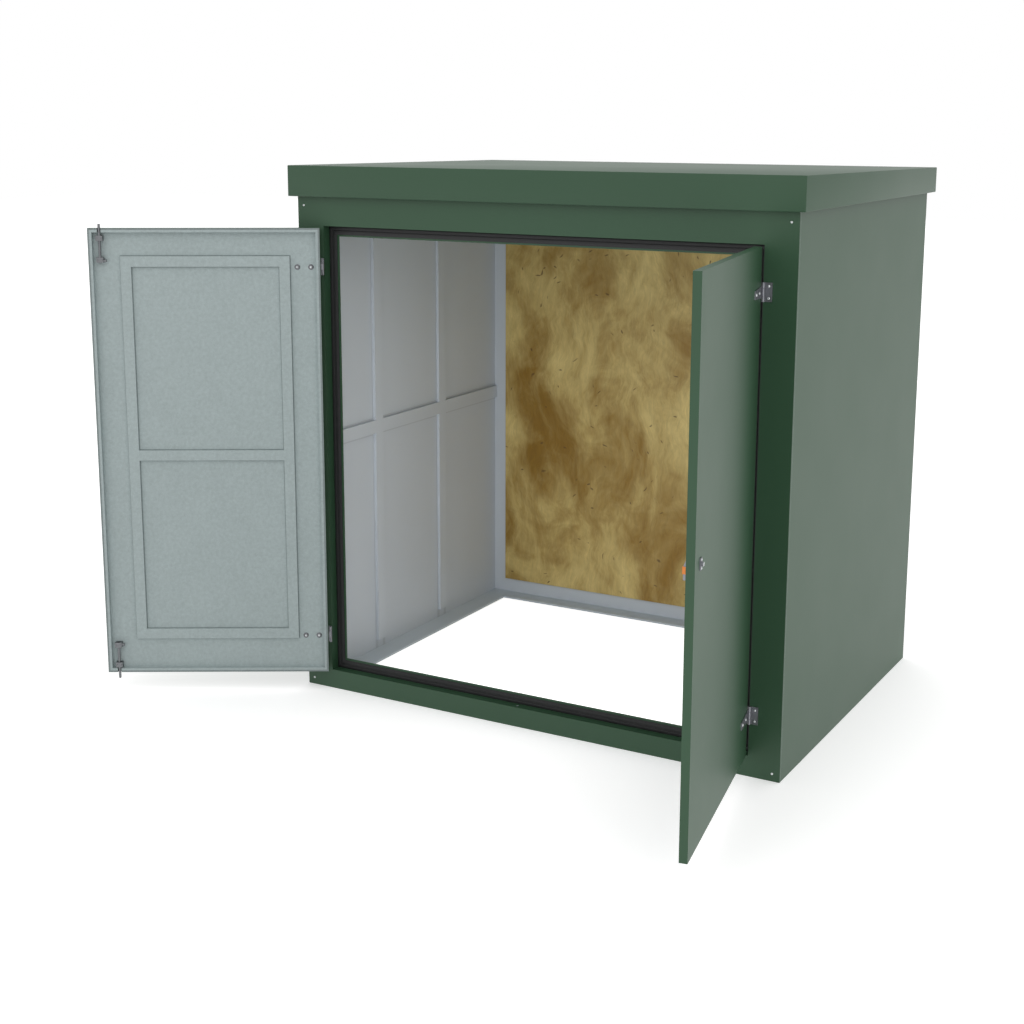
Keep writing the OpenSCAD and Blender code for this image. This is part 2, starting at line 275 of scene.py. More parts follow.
# %% [markdown]
# ## Panels with two faces
# A wall panel is green outside and grey inside, but it is one solid. A finish that reads Object
# coordinates can tell on which side of the panel a point lies, so one material paints both faces.

# %% Tell the inside of a panel from its outside
def in_side_wall(f):
    x, y, z = f.axes()
    return abs(x) < half_w - wall_t + HAIR

def in_back_wall(f):
    x, y, z = f.axes()
    return y < back_y - wall_t + HAIR

def behind_front(f, clearance=0.003):
    """The back of the front moulding. What can be seen through the doorway is green all round."""
    x, y, z = f.axes()
    beside = abs(x) > -door_l + clearance
    clear = beside.biggest(z > door_u + clearance).biggest(z < door_b - clearance)
    return (y > wall_t - HAIR) * clear

print("the inside starts", round(wall_t, 4), "m behind the outer face")

# %% [markdown]
# ## Painted shade beside the ribs
# The wall is painted a slightly darker line beside each rib, as painted shade where the rib shadows the
# wall. The lines follow the edges of the rib pieces, so they are read from those meshes.

# %% Paint the panels on both sides
WALL_GREY = (0.55, 0.59, 0.635)

def wall_tint(f, clouds):
    """The wall's grey, with faint clouds and the print of the glass cloth."""
    return f.tint(WALL_GREY, 0.95 + 0.06 * clouds + 0.04 * f.noise(300.0, 2.0))

def rib_shade_lines(f, width=0.009):
    """1 on the wall close beside a rib, where shade is painted onto it."""
    x, y, z = f.axes()
    rail_lo, rail_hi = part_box("left_wall_rail")
    edges = sorted({round(v.co.y, 4) for v in nodes["left_wall_uprights"].data.vertices})
    lines = (abs(z - rail_lo.z) < width).biggest(abs(z - rail_hi.z) < width)
    for edge in edges:
        lines = lines.biggest(abs(y - edge) < width)
    print("rib edges at y", edges)
    return lines

def two_faced(name, inside_mask, joints=None):
    f = Finish(name)
    grey_side = wall_tint(f, f.noise(2.2, 3.0))
    # The grey is darkened by 15% along the lines that joints marks: painted shade beside the ribs.
    if joints:
        grey_side = f.tint(grey_side, 1 - 0.15 * joints(f))
    f.put(Base_Color=f.mix(inside_mask(f), gel_colour(f), grey_side))
    return gel_skin(f)

side_wall_finish = two_faced("side_wall_finish", in_side_wall, rib_shade_lines)
back_wall_finish = two_faced("back_wall_finish", in_back_wall)
front_finish = two_faced("front_frame_finish", behind_front)
print("three panels are green outside and grey inside")

# %% [markdown]
# ## The doors
# A door is a shallow tray: green on its face and its edges, and grey inside, with a ladder of bars laid
# into it. Shade is painted as a dark line round each bar and inside the lip, where the corners lie in
# shadow.
# The bars are found first: their corners are turned back to the closed door, where the stiles are upright
# and the rails level.

# %% Find the bars of the door frame
def closed_corners(side, name):
    """The corners of a node as they lie when the door is closed."""
    back = swung(side).inverted()
    return [back @ v.co for v in nodes[name].data.vertices]

def bars(side):
    """The stiles' outer edges, the clear width between them, and the levels of the rails' edges."""
    stiles = closed_corners(side, side + "_door_stiles")
    outer = min(p.x for p in stiles), max(p.x for p in stiles)
    middle = sum(outer) / 2
    clear = max(p.x for p in stiles if p.x < middle), min(p.x for p in stiles if p.x > middle)
    levels = sorted({round(p.z, 4) for p in closed_corners(side, side + "_door_rails")})
    print(side, "rails' edges at z", levels, "panels x", [round(v, 4) for v in clear])
    return outer, clear, levels, (min(p.z for p in stiles), max(p.z for p in stiles))

# %% Draw the painted shade lines
LIP = 0.004             # from the door's edge to the inside of its lip

def from_edge(x, z, wide, tall):
    """How far a point is outside a rectangle. It is 0 on the rectangle's edge."""
    (x0, x1), (z0, z1) = wide, tall
    return (abs(x - (x0 + x1) / 2) - (x1 - x0) / 2).biggest(abs(z - (z0 + z1) / 2) - (z1 - z0) / 2)

def painted_bar_shade(side, x, z, width=0.003):
    """1 along the painted shade line round each bar and inside the lip."""
    outer, clear, levels, tall = bars(side)
    lines = abs(from_edge(x, z, outer, tall)) < width
    for low, high in ((levels[1], levels[2]), (levels[3], levels[4])):
        lines = lines.biggest(abs(from_edge(x, z, clear, (low, high))) < width)
    tray = closed_corners(side, side + "_door")
    tray_wide = min(p.x for p in tray) + LIP, max(p.x for p in tray) - LIP
    tray_tall = min(p.z for p in tray) + LIP, max(p.z for p in tray) - LIP
    return lines.biggest(abs(from_edge(x, z, tray_wide, tray_tall)) < width)

# These lines are painted shade, in the corners round the bars and inside the lip.
print("resin lines run", LIP, "m inside the doors' edges")

# %% [markdown]
# ## Painting a door that stands open
# The doors are modelled as they stand, swung open. So that the paint can tell the tray from the face, the
# coordinates are turned back about the hinge with a Vector Rotate node: then depth is Y and width is X.

# %% Paint the doors
def door_finish(side, edge=0.0006):
    f = Finish(side + "_door_finish")
    closed = f.node("ShaderNodeVectorRotate", {"rotation_type": "Z_AXIS"},
                    {"Vector": f.place, "Center": tuple(axis[side]), "Angle": -opened[side]})
    x, y, z = f.axes(closed)
    lo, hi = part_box(side + "_door")
    inner = (y > TRAY_SKIN - edge) * (abs(x) < -door_l - DOOR_GAP - edge) * (abs(x) > DOOR_GAP / 2 + edge)
    inner = inner * (z > lo.z + edge) * (z < hi.z - edge)
    grain = mat_grain(f)
    # The grey is darkened by 42% along the painted shade lines round the bars and inside the lip.
    grey = f.tint(flow_colour(f, grain), 1 - 0.42 * painted_bar_shade(side, x, z))
    f.put(Base_Color=f.mix(inner, gel_colour(f), grey), Specular_IOR_Level=GEL_SHINE,
          Roughness=gel_roughness(f) * (1 - inner) + flow_roughness(grain) * inner)
    peel = f.noise(55.0, 2.0) * 0.15
    return f.bump(peel * (1 - inner) + grain * inner, 0.0010, 0.35)

left_door_finish, right_door_finish = door_finish("left"), door_finish("right")
print("door finishes are turned by", [round(math.degrees(a), 1) for a in opened.values()])

# %% [markdown]
# ## The smooth grey mouldings
# The ground flanges are laid up separately and coated a shade bluer than the walls. The ribs get the
# walls' own grey, but they are smoother, so their edges catch more light.

# %% Mix the coats of the flanges and ribs
FLANGE_GREY = (0.50, 0.555, 0.60)

flange_coat = Finish("grey_flange_coat")
flange_cloud = flange_coat.noise(12.0, 3.0)
flange_coat.put(Base_Color=flange_coat.tint(FLANGE_GREY, 0.94 + 0.12 * flange_cloud),
                Roughness=0.34 + 0.12 * flange_cloud)
flange_coat.bump(flange_coat.noise(180.0, 2.0), 0.0006, 0.3)

rib_coat = Finish("grey_rib_coat")
rib_cloud = rib_coat.noise(2.2, 3.0)
rib_coat.put(Base_Color=wall_tint(rib_coat, rib_cloud), Roughness=0.38 + 0.08 * rib_cloud)
rib_coat.bump(rib_coat.noise(180.0, 2.0), 0.0006, 0.2)
print("flanges are", FLANGE_GREY, "and ribs", WALL_GREY)

# %% [markdown]
# ## Plywood
# The board is a rotary-cut veneer with a flowing figure: broad smoky blotches of ochre and pale olive,
# a fine upright grain, and small dark flecks and pin knots. Each is one layer over the last. A noise
# pushes the coordinates about first, so that the blotches and the grain curl together.

# %% Lay down the blotches and the grain
DARK_OCHRE, PALE_OLIVE = (0.240, 0.127, 0.010), (0.65, 0.508, 0.195)

ply = Finish("plywood")
swirl = ply.node("ShaderNodeTexNoise", {}, {"Vector": ply.place, "Scale": 4.5, "Detail": 3.0}, "Color")
curled = ply.node("ShaderNodeVectorMath", {"operation": "MULTIPLY_ADD"},
                  {0: swirl, 1: (0.16, 0.0, 0.16), 2: ply.place})
figure = ply.noise(2.1, 5.0, ply.stretched((1.25, 1.0, 0.85)), 0.58, 0.7)
smoke = ply.noise(5.5, 5.0, ply.stretched((1.0, 1.0, 0.55), curled), 0.62, 0.9)
blotch = (figure * 0.60 + smoke * 0.40).smooth(0.35, 0.65)
ochre = ply.mix(blotch, DARK_OCHRE, PALE_OLIVE)
grain_lines = ply.noise(7.0, 5.0, ply.stretched((30.0, 1.0, 2.6), curled), 0.62, 0.35)
fine_lines = ply.noise(9.0, 3.0, ply.stretched((90.0, 1.0, 7.0), curled), 0.6)
waves = ply.noise(7.0, 5.0, ply.stretched((11.0, 1.0, 1.9), curled), 0.66, 0.5)
grained = ply.tint(ochre, 0.40 + 0.48 * waves + 0.38 * grain_lines + 0.34 * fine_lines)
print("the veneer has", len(ply.tree.nodes), "nodes so far")

# %% [markdown]
# ## Flecks in the veneer
# Flecks are Voronoi spots. A Voronoi cell also gives a random colour, and its red part is compared with a
# share, so that only some cells get a spot. Stretched cells that lean at four angles make the short marks.

# %% Scatter the flecks
FLECK_BROWN = (0.070, 0.032, 0.013)

def flecks(scale, lean, stretch, size, share):
    """Short dark marks that lean by an angle in degrees. Only a share of the cells has one."""
    leaning = ply.node("ShaderNodeMapping", {},
                       {"Vector": curled, "Rotation": (0.0, math.radians(lean), 0.0)})
    spots = ply.node("ShaderNodeTexVoronoi", {},
                     {"Vector": ply.stretched(stretch, leaning), "Scale": scale})
    chance = ply.axes(Val(ply, spots.socket.node.outputs["Color"]))[0]
    return (1 - spots.smooth(size * 0.35, size)) * (chance > 1 - share)

marks = flecks(15.0, 0, (1.0, 1.0, 1.0), 0.075, 0.40)
for lean, scale in ((10, 24.0), (-35, 21.0), (65, 19.0), (110, 23.0)):
    marks = marks.biggest(flecks(scale, lean, (1.0, 1.0, 0.36), 0.105, 0.50) * 0.85)
ply.put(Base_Color=ply.mix(marks * 0.85, grained, FLECK_BROWN), Roughness=0.40 + 0.22 * fine_lines)
ply.bump(grain_lines * 0.5 + fine_lines * 0.5 - marks * 0.6, 0.0008, 0.35)
print("plywood has", len(ply.tree.nodes), "nodes")

# %% [markdown]
# ## Rubber, zinc and orange plastic
# The seal is a dull black foam rubber with a fine skin. The fittings are zinc-plated steel, which is
# never quite even: the plating clouds, and dust dulls it in patches. Three of the same kind are mixed:
# plain for the hinges, dull for the shoot bolts and washers, and bright for the heads of the screws.

# %% Mix the small finishes
rubber = Finish("seal_rubber")
pores = rubber.noise(900.0, 2.0)
rubber.put(Base_Color=rubber.tint((0.0145, 0.0145, 0.0155), 0.8 + 0.4 * rubber.noise(30.0, 3.0)),
           Roughness=0.50 + 0.2 * pores)
rubber.bump(pores, 0.0006, 0.4)

def zinc_finish(name, colour, dull):
    f = Finish(name)
    cloud, scratch = f.noise(85.0, 4.0), f.noise(60.0, 2.0, f.stretched((1.0, 1.0, 14.0)))
    f.put(Base_Color=f.tint(colour, 0.80 + 0.30 * cloud), Metallic=1.0,
          Roughness=dull + 0.18 * cloud + 0.08 * scratch)
    return f.bump(scratch, 0.0003, 0.25)

zinc = zinc_finish("zinc_steel", (0.285, 0.29, 0.315), 0.34)
dull_zinc = zinc_finish("dull_zinc", (0.19, 0.195, 0.205), 0.30)
bright = zinc_finish("bright_screw_steel", (0.78, 0.80, 0.81), 0.22)
orange = Finish("orange_plastic")
orange.put(Base_Color=orange.tint((1.0, 0.30, 0.055), 0.92 + 0.16 * orange.noise(120.0, 2.0)),
           Roughness=0.34 + 0.10 * orange.noise(200.0, 2.0))
orange.bump(orange.noise(400.0, 1.0), 0.0003, 0.2)
# The keyway's near black is painted shade: it stands for the shadow inside a deep hole.
dark = Finish("keyway_painted_shade")
dark.put(Base_Color=dark.tint((0.012, 0.012, 0.013), 0.8 + 0.4 * dark.noise(300.0, 2.0)), Roughness=0.45)
dark.bump(dark.noise(700.0, 1.0), 0.0002, 0.2)
print("small finishes are mixed")

# %% [markdown]
# ## Give each CAD piece its finish
# A CAD mesh is never touched: only what sits in its material slots changes.

# %% Dress the CAD pieces
dress = {
    front_finish: ["front_head", "front_sill", "front_left_jamb", "front_right_jamb"],
    gel: ["head_stop", "sill_stop", "left_stop", "right_stop", "roof_deck", "front_fascia",
          "back_fascia", "left_fascia", "right_fascia"],
    rubber: ["head_seal", "sill_seal", "left_seal", "right_seal"],
    side_wall_finish: ["left_wall", "right_wall"],
    back_wall_finish: ["back_wall"],
    flange_coat: ["left_base_flange", "right_base_flange", "back_base_flange", "front_base_flange"],
    rib_coat: ["left_wall_uprights", "left_wall_rail", "right_wall_uprights", "right_wall_rail"],
    ply: ["back_board"],
    left_door_finish: ["left_door"], right_door_finish: ["right_door"],
    flow: ["left_door_stiles", "left_door_rails", "right_door_stiles", "right_door_rails"],
    zinc: ["left_frame_leaves", "right_frame_leaves", "left_door_leaves", "right_door_leaves",
           "lock_plate", "lock_case"],
    dull_zinc: ["bolt_guides", "top_bolt", "foot_bolt"],
    orange: ["lock_catch"],
}
for finish, names in dress.items():
    for name in names:
        nodes[name].data.materials.clear()
        nodes[name].data.materials.append(finish.material)
print(sum(len(n) for n in dress.values()), "of", len(nodes), "nodes are dressed")

# %% [markdown]
# ## Modelling by hand
# The next pieces are modelled with Blender's operators. An operator acts on all that is selected, so
# everything is deselected first, and faces or corners are then picked by where they are. A piece's place
# goes into its mesh as soon as it is added, so that the picking can use real coordinates.

# %% Start a piece and pick its faces
def start(name, maker, **values):
    """Adds a primitive, with nothing else selected."""
    bpy.ops.object.select_all(action="DESELECT")
    maker(**values)
    piece = bpy.context.object
    piece.name = name
    return piece

def pick(piece, test, what="FACE"):
    """Selects in edit mode the faces or corners that pass the test."""
    bpy.ops.object.mode_set(mode="OBJECT")
    mesh = piece.data
    for group in (mesh.polygons, mesh.edges, mesh.vertices):
        group.foreach_set("select", [False] * len(group))
    if what == "FACE":
        chosen = [f for f in mesh.polygons if test(f.center, f.normal)]
    else:
        chosen = [v for v in mesh.vertices if test(v.co)]
    for item in chosen:
        item.select = True
    bpy.ops.object.mode_set(mode="EDIT")
    bpy.ops.mesh.select_mode(type=what)

def pick_front(piece):
    """Selects the faces that look to the front, towards -Y."""
    pick(piece, lambda c, n: n.y < -0.9)

print("pieces start with nothing else selected")

# %% Finish a piece
def rounded(piece, width, segments=2, angle=40):
    """Leaves edit mode, rounds the sharp edges and applies the modifier."""
    bpy.ops.object.mode_set(mode="OBJECT")
    bevel = piece.modifiers.new("soft_edges", "BEVEL")
    bevel.width, bevel.segments = width, segments
    bevel.limit_method, bevel.angle_limit = "ANGLE", math.radians(angle)
    bpy.ops.object.modifier_apply(modifier=bevel.name)
    bpy.ops.object.shade_smooth_by_angle(angle=math.radians(35))

def settled(piece):
    """Puts the piece's place into its mesh."""
    bpy.ops.object.mode_set(mode="OBJECT")
    bpy.ops.object.select_all(action="DESELECT")
    piece.select_set(True)
    bpy.context.view_layer.objects.active = piece
    bpy.ops.object.transform_apply(location=True, rotation=True, scale=True)
    return piece

def dressed(piece, finish, body):
    """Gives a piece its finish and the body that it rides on."""
    piece.data.materials.clear()
    piece.data.materials.append(finish.material)
    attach(piece, body)
    print(piece.name, len(piece.data.polygons), "faces")

print("pieces end at the origin, with their place in their mesh")

# %% [markdown]
# ## One pattern, many copies
# What repeats is modelled once and copied. A copy gets its own mesh, so that it can be moved on its own,
# and all the copies of one kind are joined into one piece.

# %% Copy a pattern to its places
def copies(name, pattern, places):
    """Copies a pattern to each place, each copy with its own mesh, and joins them into one piece."""
    made = []
    for i, place in enumerate(places):
        copy = bpy.data.objects.new(f"{name}_{i}", pattern.data.copy())
        copy.data.transform(place)
        bpy.context.scene.collection.objects.link(copy)
        made.append(copy)
    bpy.ops.object.select_all(action="DESELECT")
    for copy in made:
        copy.select_set(True)
    bpy.context.view_layer.objects.active = made[0]
    bpy.ops.object.join()
    made[0].name = name
    return made[0]

print("copies are joined into one piece")

# %% [markdown]
# ## The roof moulding
# The real roof is one lid, laid up in one mould: a falling deck with an edge that hangs down all round.
# Slabs would show hard corners. A mould has radii, so that the laminate lets go of it. The lid starts as
# a box at its full size. Its top slopes by moving the back corners down, its underside is inset by the
# wall thickness and pushed up to make the hollow, and the edges are rounded.

# %% Model the roof lid
deck_lo, deck_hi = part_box("roof_deck")
lip_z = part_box("front_fascia")[0].z
fascia_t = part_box("left_fascia")[1].x - deck_lo.x
deck_t = 0.008
fall = (deck_hi.z - deck_lo.z) - deck_t
size, middle = deck_hi - deck_lo, (deck_lo + deck_hi) / 2
lid = start("roof_lid", bpy.ops.mesh.primitive_cube_add, size=1,
            location=(middle.x, middle.y, (lip_z + deck_hi.z) / 2))
lid.scale = (size.x, size.y, deck_hi.z - lip_z)
settled(lid)
pick(lid, lambda c, n: n.z < -0.9)
bpy.ops.mesh.inset(thickness=fascia_t)
bpy.ops.mesh.extrude_region_move(TRANSFORM_OT_translate={"value": (0, 0, deck_hi.z - deck_t - lip_z)})
above_lip = lip_z + 0.03
pick(lid, lambda v: v.y > middle.y and v.z > above_lip, "VERT")
bpy.ops.transform.translate(value=(0, 0, -fall))
rounded(lid, 0.0035, 3)
print("the roof falls", round(fall, 4), "m to the back")
dressed(lid, gel, "enclosure")
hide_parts("roof_deck", "front_fascia", "back_fascia", "left_fascia", "right_fascia")

# %% [markdown]
# ## The seal
# The doors close on a black foam seal that is stuck around the stop in one mitred frame. Its two rounded
# ribs squash first. A flat frame is inset five times, which cuts it into five strips side by side. All of
# it gets the thickness of the base, the second and the fourth strip are pushed forward as ribs, and
# everything is rounded. It stops 4 mm short of the stop's edge, so a thin green line shows inside it.

# %% Cut the seal's frame into strips
seal_lo, seal_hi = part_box("head_seal")
seal_short = 0.004      # from the stop's edge, where the green shows
seal_w = seal_hi.z - seal_lo.z - seal_short
seal_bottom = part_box("sill_seal")[0].z
strips = [0.13, 0.28, 0.12, 0.34, 0.13]
seal = start("doorway_seal", bpy.ops.mesh.primitive_plane_add, size=1,
             location=(0, seal_hi.y, (seal_hi.z + seal_bottom) / 2), rotation=(math.radians(90), 0, 0))
seal.scale = (seal_hi.x - seal_lo.x, seal_hi.z - seal_bottom, 1)
settled(seal)
bpy.ops.object.mode_set(mode="EDIT")
bpy.ops.mesh.select_all(action="SELECT")
for share in strips:
    bpy.ops.mesh.inset(thickness=seal_w * share)
bpy.ops.mesh.delete(type="FACE")
print("the seal is", round(seal_w, 4), "m wide, in", len(strips), "strips")

# %% Raise the seal's ribs
def in_strip(c, strip):
    """True where a face lies in that strip, counted from the outside."""
    edge = min(seal_hi.x - abs(c.x), seal_hi.z - c.z, c.z - seal_bottom) / seal_w
    return sum(strips[:strip]) < edge < sum(strips[:strip + 1])

thick = seal_hi.y - seal_lo.y
base_t, rib_t = thick * 0.55, thick * 0.45
front_rank = seal_hi.y - base_t + 1e-4
bpy.ops.mesh.select_all(action="SELECT")
bpy.ops.mesh.extrude_region_move(TRANSFORM_OT_translate={"value": (0, -base_t, 0)})
for strip in (1, 3):
    pick(seal, lambda c, n: c.y < front_rank and abs(n.y) > 0.9 and in_strip(c, strip))
    bpy.ops.mesh.extrude_region_move(TRANSFORM_OT_translate={"value": (0, -rib_t, 0)})
bpy.ops.mesh.select_all(action="SELECT")
bpy.ops.mesh.remove_doubles(threshold=0.00001)
bpy.ops.mesh.normals_make_consistent(inside=False)
rounded(seal, 0.0012, 2)
dressed(seal, rubber, "enclosure")
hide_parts("head_seal", "sill_seal", "left_seal", "right_seal")

# %% [markdown]
# ## Screws and bolts
# The corners have pan-head screws, the hinge leaves smaller ones, and the guides smaller ones still. A
# round-headed bolt goes through each door, with a dome nut on a dished washer at its inner end. Each is
# modelled once, lying at the origin with its head towards -Y. A dome is a short cylinder whose end face is
# inset and pulled out three times, each time by less.

# %% Model a round head
def round_head(name, radius, height, slot=0.0, sides=20):
    """A low dome, with a recess if it has a slot depth. Its seat is at y = 0."""
    head = start(name, bpy.ops.mesh.primitive_cylinder_add, vertices=sides, radius=radius,
                 depth=height * 0.4, location=(0, -height * 0.2, 0), rotation=(math.radians(90), 0, 0))
    settled(head)
    for rise in (0.30, 0.20, 0.10):
        pick_front(head)
        bpy.ops.mesh.inset(thickness=radius * 0.16)
        bpy.ops.transform.translate(value=(0, -height * rise, 0))
    if slot:
        pick_front(head)
        bpy.ops.mesh.inset(thickness=radius * 0.12)
        bpy.ops.mesh.extrude_region_move(TRANSFORM_OT_translate={"value": (0, slot, 0)})
    bpy.ops.object.mode_set(mode="OBJECT")
    bpy.ops.object.shade_smooth_by_angle(angle=math.radians(40))
    return head

screw = round_head("pan_screw", 0.0045, 0.0030, 0.0012)
leaf_screw = round_head("leaf_screw", 0.0042, 0.0024, 0.0009)
guide_screw = round_head("guide_screw", 0.0026, 0.0016)
coach_bolt = round_head("coach_bolt", 0.0055, 0.0032)
print("screws and bolts have", len(screw.data.polygons), "and", len(coach_bolt.data.polygons), "faces")

# %% Model the washer and the dome nut
washer = start("washer", bpy.ops.mesh.primitive_cylinder_add, vertices=32, radius=0.0106, depth=0.0012,
               location=(0, -0.0006, 0), rotation=(math.radians(90), 0, 0))
settled(washer)
pick_front(washer)
for rim_step, rise in ((0.0008, -0.0010), (0.0030, -0.0012), (0.0010, 0.0008)):
    bpy.ops.mesh.inset(thickness=rim_step)
    bpy.ops.transform.translate(value=(0, rise, 0))
rounded(washer, 0.0003, 1)
dome_nut = start("dome_nut", bpy.ops.mesh.primitive_cylinder_add, vertices=6, radius=0.0047, depth=0.004,
                 location=(0, -0.0042, 0), rotation=(math.radians(90), 0, 0))
settled(dome_nut)
pick_front(dome_nut)
bpy.ops.mesh.inset(thickness=0.0012)
bpy.ops.mesh.extrude_region_move(TRANSFORM_OT_translate={"value": (0, -0.0022, 0)})
bpy.ops.mesh.inset(thickness=0.0010)
bpy.ops.transform.translate(value=(0, -0.0016, 0))
rounded(dome_nut, 0.0007, 3, 25)
print("washer", len(washer.data.polygons), "faces, nut", len(dome_nut.data.polygons))

# %% [markdown]
# ## Where the fixings sit
# A screw sits 28 mm in from a corner of the front and of the back. A hinge leaf has two screws on the
# frame, and its long side is bolted through the door, so that it can't be unscrewed from outside.

# %% Put the corner screws in their places
def at(x, y, z, inward=False):
    """A place for a fixing that looks out to the front, or inwards."""
    turn = Matrix.Rotation(math.pi, 4, "Z") if inward else Matrix.Identity(4)
    return Matrix.Translation((x, y, z)) @ turn

corner_in = 0.028       # from an edge to its corner screws
front_z, back_z = (corner_in, 1.920), (corner_in, 0.97, 1.910)
corners = [at(sx * (half_w - corner_in), 0, z) for sx in (-1, 1) for z in front_z]
corners += [at(sx * (half_w - corner_in), back_y, z, True) for sx in (-1, 1) for z in back_z]
dressed(copies("corner_screws", screw, corners), bright, "enclosure")

# %% Put the hinge fixings in their places
screw_out, screw_apart = 0.018, 0.020       # on a frame leaf: from the axis, and from its middle
bolts_in = (0.044, 0.096)                   # on a door leaf: from the axis
for side in ("left", "right"):
    lo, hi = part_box(side + "_frame_leaves")
    heights = (lo.z + KNUCKLE / 2, hi.z - KNUCKLE / 2)
    out = -1 if side == "left" else 1
    spots = [at(axis[side].x + out * screw_out, -LEAF_T, h + dz) for h in heights
             for dz in (-screw_apart, screw_apart)]
    dressed(copies(side + "_frame_leaf_screws", leaf_screw, spots), bright, "enclosure")
    across = [(axis[side].x - out * d, h) for d in bolts_in for h in heights]
    heads = [swung(side) @ at(x, -LEAF_T, h) for x, h in across]
    nuts = [swung(side) @ at(x, TRAY_SKIN, h, True) for x, h in across]
    dressed(copies(side + "_door_bolts", coach_bolt, heads), bright, side + "_leaf")
    dressed(copies(side + "_door_washers", washer, nuts), dull_zinc, side + "_leaf")
    dressed(copies(side + "_door_nuts", dome_nut, nuts), bright, side + "_leaf")
    print(side, "hinges at z", [round(h, 3) for h in heights])

# %% [markdown]
# ## The shoot bolts
# Each bolt is one round bar, bent over at its end to make the handle, with a chamfered tip that finds its
# hole. Two cylinders would leave a hard corner, so a small circle is drawn out and widened for the
# chamfer, drawn out along the rod, spun round the bend and drawn out again for the handle.

# %% Model a bent bar
def bent_bar(name, length, handle=0.024, radius=ROD_R, bend=0.008, point=0.72):
    """A bar that stands on its tip at the origin and bends over towards -X at the top."""
    bar = start(name, bpy.ops.mesh.primitive_circle_add, vertices=20, radius=radius * point,
                fill_type="NGON")
    bpy.ops.object.mode_set(mode="EDIT")
    bpy.ops.mesh.select_all(action="SELECT")
    chamfer = radius * 0.5
    bpy.ops.mesh.extrude_region_move(TRANSFORM_OT_translate={"value": (0, 0, chamfer)})
    bpy.ops.transform.resize(value=(1 / point, 1 / point, 1))
    bend_z = length - bend - radius
    bpy.ops.mesh.extrude_region_move(TRANSFORM_OT_translate={"value": (0, 0, bend_z - chamfer)})
    bpy.ops.mesh.spin(steps=6, angle=-math.pi / 2, center=(-bend, 0, bend_z), axis=(0, 1, 0))
    bpy.ops.mesh.extrude_region_move(TRANSFORM_OT_translate={"value": (bend - handle, 0, 0)})
    bpy.ops.mesh.select_all(action="SELECT")
    bpy.ops.mesh.remove_doubles(threshold=0.00001)
    bpy.ops.mesh.normals_make_consistent(inside=False)
    rounded(bar, 0.0006, 2, 50)
    return bar

print("a bar is", round(2 * ROD_R * 1000, 1), "mm thick")

# %% Put the two bars in their guides
rod_x = -DOOR_GAP / 2 - ROD_IN
rod_y = DOOR_T - ROD_R
for name in ("top_bolt", "foot_bolt"):
    lo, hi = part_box(name)
    bar = bent_bar(name + "_bar", hi.z - lo.z)
    top = name == "top_bolt"
    flip = Matrix.Rotation(math.pi, 4, "X") if top else Matrix.Identity(4)
    bar.data.transform(swung("left") @ Matrix.Translation((rod_x, rod_y, hi.z if top else lo.z)) @ flip)
    dressed(bar, dull_zinc, "top_shoot_bolt" if top else "foot_shoot_bolt")
    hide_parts(name)
    print(name, "is", round(hi.z - lo.z, 3), "m from its tip to its handle")

# %% [markdown]
# ## Guide screws and the lock's face
# Two small screws hold each rod guide. On the lock, two screws hold the escutcheon and the barrel
# has a raised rim around a dark keyway. The rim is a disc whose face is inset and pushed in; the keyway is
# a thin, shallow upright slot, painted near black as painted shade so that it reads as a deep hole.

# %% Add the guide screws
door_lo, door_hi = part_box("left_door")
guides_apart, guide_face, screws_apart = 0.082, 0.029, 0.0092
from_top, from_foot = 0.038, 0.031
guide_z = [door_hi.z - from_top - d for d in (0, guides_apart)]
guide_z += [door_lo.z + from_foot + d for d in (0, guides_apart)]
spots = [swung("left") @ at(rod_x + dx, guide_face, z, True) for z in guide_z
         for dx in (-screws_apart, screws_apart)]
dressed(copies("guide_screws", guide_screw, spots), dull_zinc, "left_leaf")

# %% Add the lock's screws and barrel
lock_lo, lock_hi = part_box("lock_plate")
lock_x, lock_z = DOOR_GAP / 2 + LOCK_IN, (lock_lo.z + lock_hi.z) / 2
plate_y, barrel_y, screw_up = -0.004, -0.010, 0.0127
spots = [swung("right") @ at(lock_x, plate_y, lock_z + dz) for dz in (-screw_up, screw_up)]
dressed(copies("lock_screws", leaf_screw, spots), bright, "right_leaf")
rim = start("barrel_face", bpy.ops.mesh.primitive_cylinder_add, vertices=28, radius=0.0066, depth=0.0014,
            location=(0, -0.0007, 0), rotation=(math.radians(90), 0, 0))
settled(rim)
pick_front(rim)
bpy.ops.mesh.inset(thickness=0.0014)
bpy.ops.mesh.extrude_region_move(TRANSFORM_OT_translate={"value": (0, 0.0009, 0)})
rounded(rim, 0.00025, 2)
rim.data.transform(swung("right") @ at(lock_x, barrel_y, lock_z))
dressed(rim, bright, "right_leaf")

# %% Cut the keyway
keyway = start("keyway", bpy.ops.mesh.primitive_cube_add, size=1, location=(0, -0.0002, 0))
keyway.scale = (0.0017, 0.0007, 0.0078)
settled(keyway)
pick_front(keyway)
bpy.ops.mesh.inset(thickness=0.0003)
bpy.ops.mesh.extrude_region_move(TRANSFORM_OT_translate={"value": (0, 0.0003, 0)})
rounded(keyway, 0.0002, 1)
keyway.data.transform(swung("right") @ at(lock_x, barrel_y - 0.0006, lock_z))
dressed(keyway, dark, "right_leaf")

# %% [markdown]
# ## Put the patterns away
# The patterns at the origin have been copied and aren't part of the enclosure, so they are removed.

# %% Remove the patterns
for pattern in (screw, leaf_screw, coach_bolt, washer, dome_nut, guide_screw):
    bpy.data.objects.remove(pattern)

# %% [markdown]
# ## Surroundings
# The enclosure stands on white ground in a white studio. The world shows pure white to the camera, in
# mirrors and through glass, but it lights the object a little less than that, so that colours come out as
# they are written. The Light Path node tells which kind of ray is asking.

# %% Build the white world
WORLD_LIGHT = 0.88

